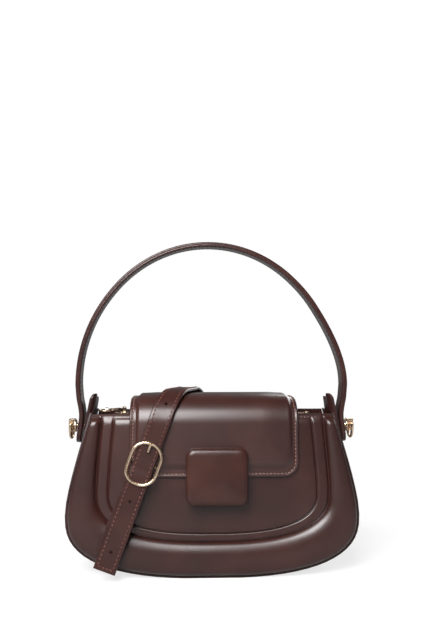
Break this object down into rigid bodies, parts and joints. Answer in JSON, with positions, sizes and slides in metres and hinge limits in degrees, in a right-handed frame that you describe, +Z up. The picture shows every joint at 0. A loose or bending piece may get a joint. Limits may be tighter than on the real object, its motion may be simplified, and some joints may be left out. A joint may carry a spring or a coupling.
{
  "type": "baguette bag",
  "caption": "Structured baguette bag with a moulded front, padded snap flap, square lock, arched handle, zip top and a strap with a wire buckle.",
  "frame": {"origin": "middle of the base, on the surface that the bag stands on", "axes": "+X to the right seen from the front, -Y out of the front, +Z up"},
  "size_m": [0.253, 0.1209, 0.287],
  "materials": {
    "brown_leather": "semi-gloss smooth",
    "trim_leather": "satin",
    "board": "matt",
    "foam": "matt",
    "lining_cloth": "matt",
    "zip_tape": "matt",
    "pale_gold": "polished plating"
  },
  "bodies": {
    "root": {"front_panel": "brown_leather", "back_panel": "brown_leather", "gusset": "brown_leather", "front_board": "board", "back_board": "board", "base_board": "board", "lining_front": "lining_cloth", "lining_back": "lining_cloth", "lining_side": "lining_cloth", "inner_pocket": "lining_cloth", "facing_front": "trim_leather", "facing_back": "trim_leather", "zip_tape_front": "zip_tape", "zip_tape_back": "zip_tape", "zip_teeth": "pale_gold", "zip_stops": "pale_gold", "flap_root": "brown_leather", "snap_female": "pale_gold", "snap_washer": "pale_gold", "stud_left": "pale_gold", "stud_right": "pale_gold", "stud_nuts": "pale_gold", "strap_rear": "brown_leather", "clasp_eye": "pale_gold", "bundle_tie": "trim_leather"},
    "flap": {"flap_leather": "brown_leather", "flap_foam": "foam", "flap_lining": "trim_leather", "lock_cover": "brown_leather", "lock_core": "foam", "snap_male": "pale_gold", "strap_upper": "brown_leather", "buckle_frame": "pale_gold", "buckle_prong": "pale_gold", "buckle_tab": "trim_leather"},
    "strap_tail": {"strap_tail": "brown_leather", "tab_tail": "trim_leather", "tab_clasp": "pale_gold"},
    "handle": {"handle_strap": "brown_leather"},
    "ring_left": {"d_ring_left": "pale_gold"},
    "ring_right": {"d_ring_right": "pale_gold"},
    "slider": {"zip_slider": "pale_gold"},
    "puller": {"zip_puller": "pale_gold"},
    "pull_ring": {"zip_ring": "pale_gold"},
    "hook": {"clasp_hook": "pale_gold"},
    "gate": {"clasp_gate": "pale_gold"}
  },
  "joints": [
    {"name": "flap_hinge", "type": "hinge", "parent": "root", "child": "flap", "pos_m": [0, 0.03721, 0.124], "axis": [-1, 0, 0], "range_deg": [0, 100]},
    {"name": "tail_hinge", "type": "hinge", "parent": "flap", "child": "strap_tail", "pos_m": [-0.0642, -0.03811, 0.08021], "axis": [-0.9385, 0.0299, 0.344], "range_deg": [-60, 0]},
    {"name": "handle_swing", "type": "hinge", "parent": "root", "child": "handle", "pos_m": [0, 0, 0.1245], "axis": [1, 0, 0], "range_deg": [-75, 75]},
    {"name": "ring_left_swing", "type": "hinge", "parent": "root", "child": "ring_left", "pos_m": [-0.1243, 0, 0.126], "axis": [0, 1, 0], "range_deg": [0, 110]},
    {"name": "ring_right_swing", "type": "hinge", "parent": "root", "child": "ring_right", "pos_m": [0.1243, 0, 0.126], "axis": [0, -1, 0], "range_deg": [0, 110]},
    {"name": "zip_slide", "type": "slide", "parent": "root", "child": "slider", "axis": [1, 0, 0], "range_m": [0, 0.156]},
    {"name": "puller_hinge", "type": "hinge", "parent": "slider", "child": "puller", "pos_m": [-0.078, 0, 0.1396], "axis": [-0.6157, 0.788, 0], "range_deg": [0, 100]},
    {"name": "pull_ring_hinge", "type": "hinge", "parent": "puller", "child": "pull_ring", "pos_m": [-0.09218, -0.01108, 0.1396], "axis": [-1, 0, 0], "range_deg": [0, 90]},
    {"name": "clasp_swivel", "type": "hinge", "parent": "root", "child": "hook", "pos_m": [0.01406, 0.06769, 0.07302], "axis": [0.3453, 0.0813, -0.935], "continuous": true},
    {"name": "gate_hinge", "type": "hinge", "parent": "hook", "child": "gate", "pos_m": [0.02167, 0.06835, 0.06549], "axis": [0, 0.9962, 0.0866], "range_deg": [0, 25], "stiffness_Nm_per_rad": 0.002}
  ],
  "couplings": [
    {"joint": "tail_hinge", "follows": "flap_hinge", "ratio": -0.6}
  ]
}
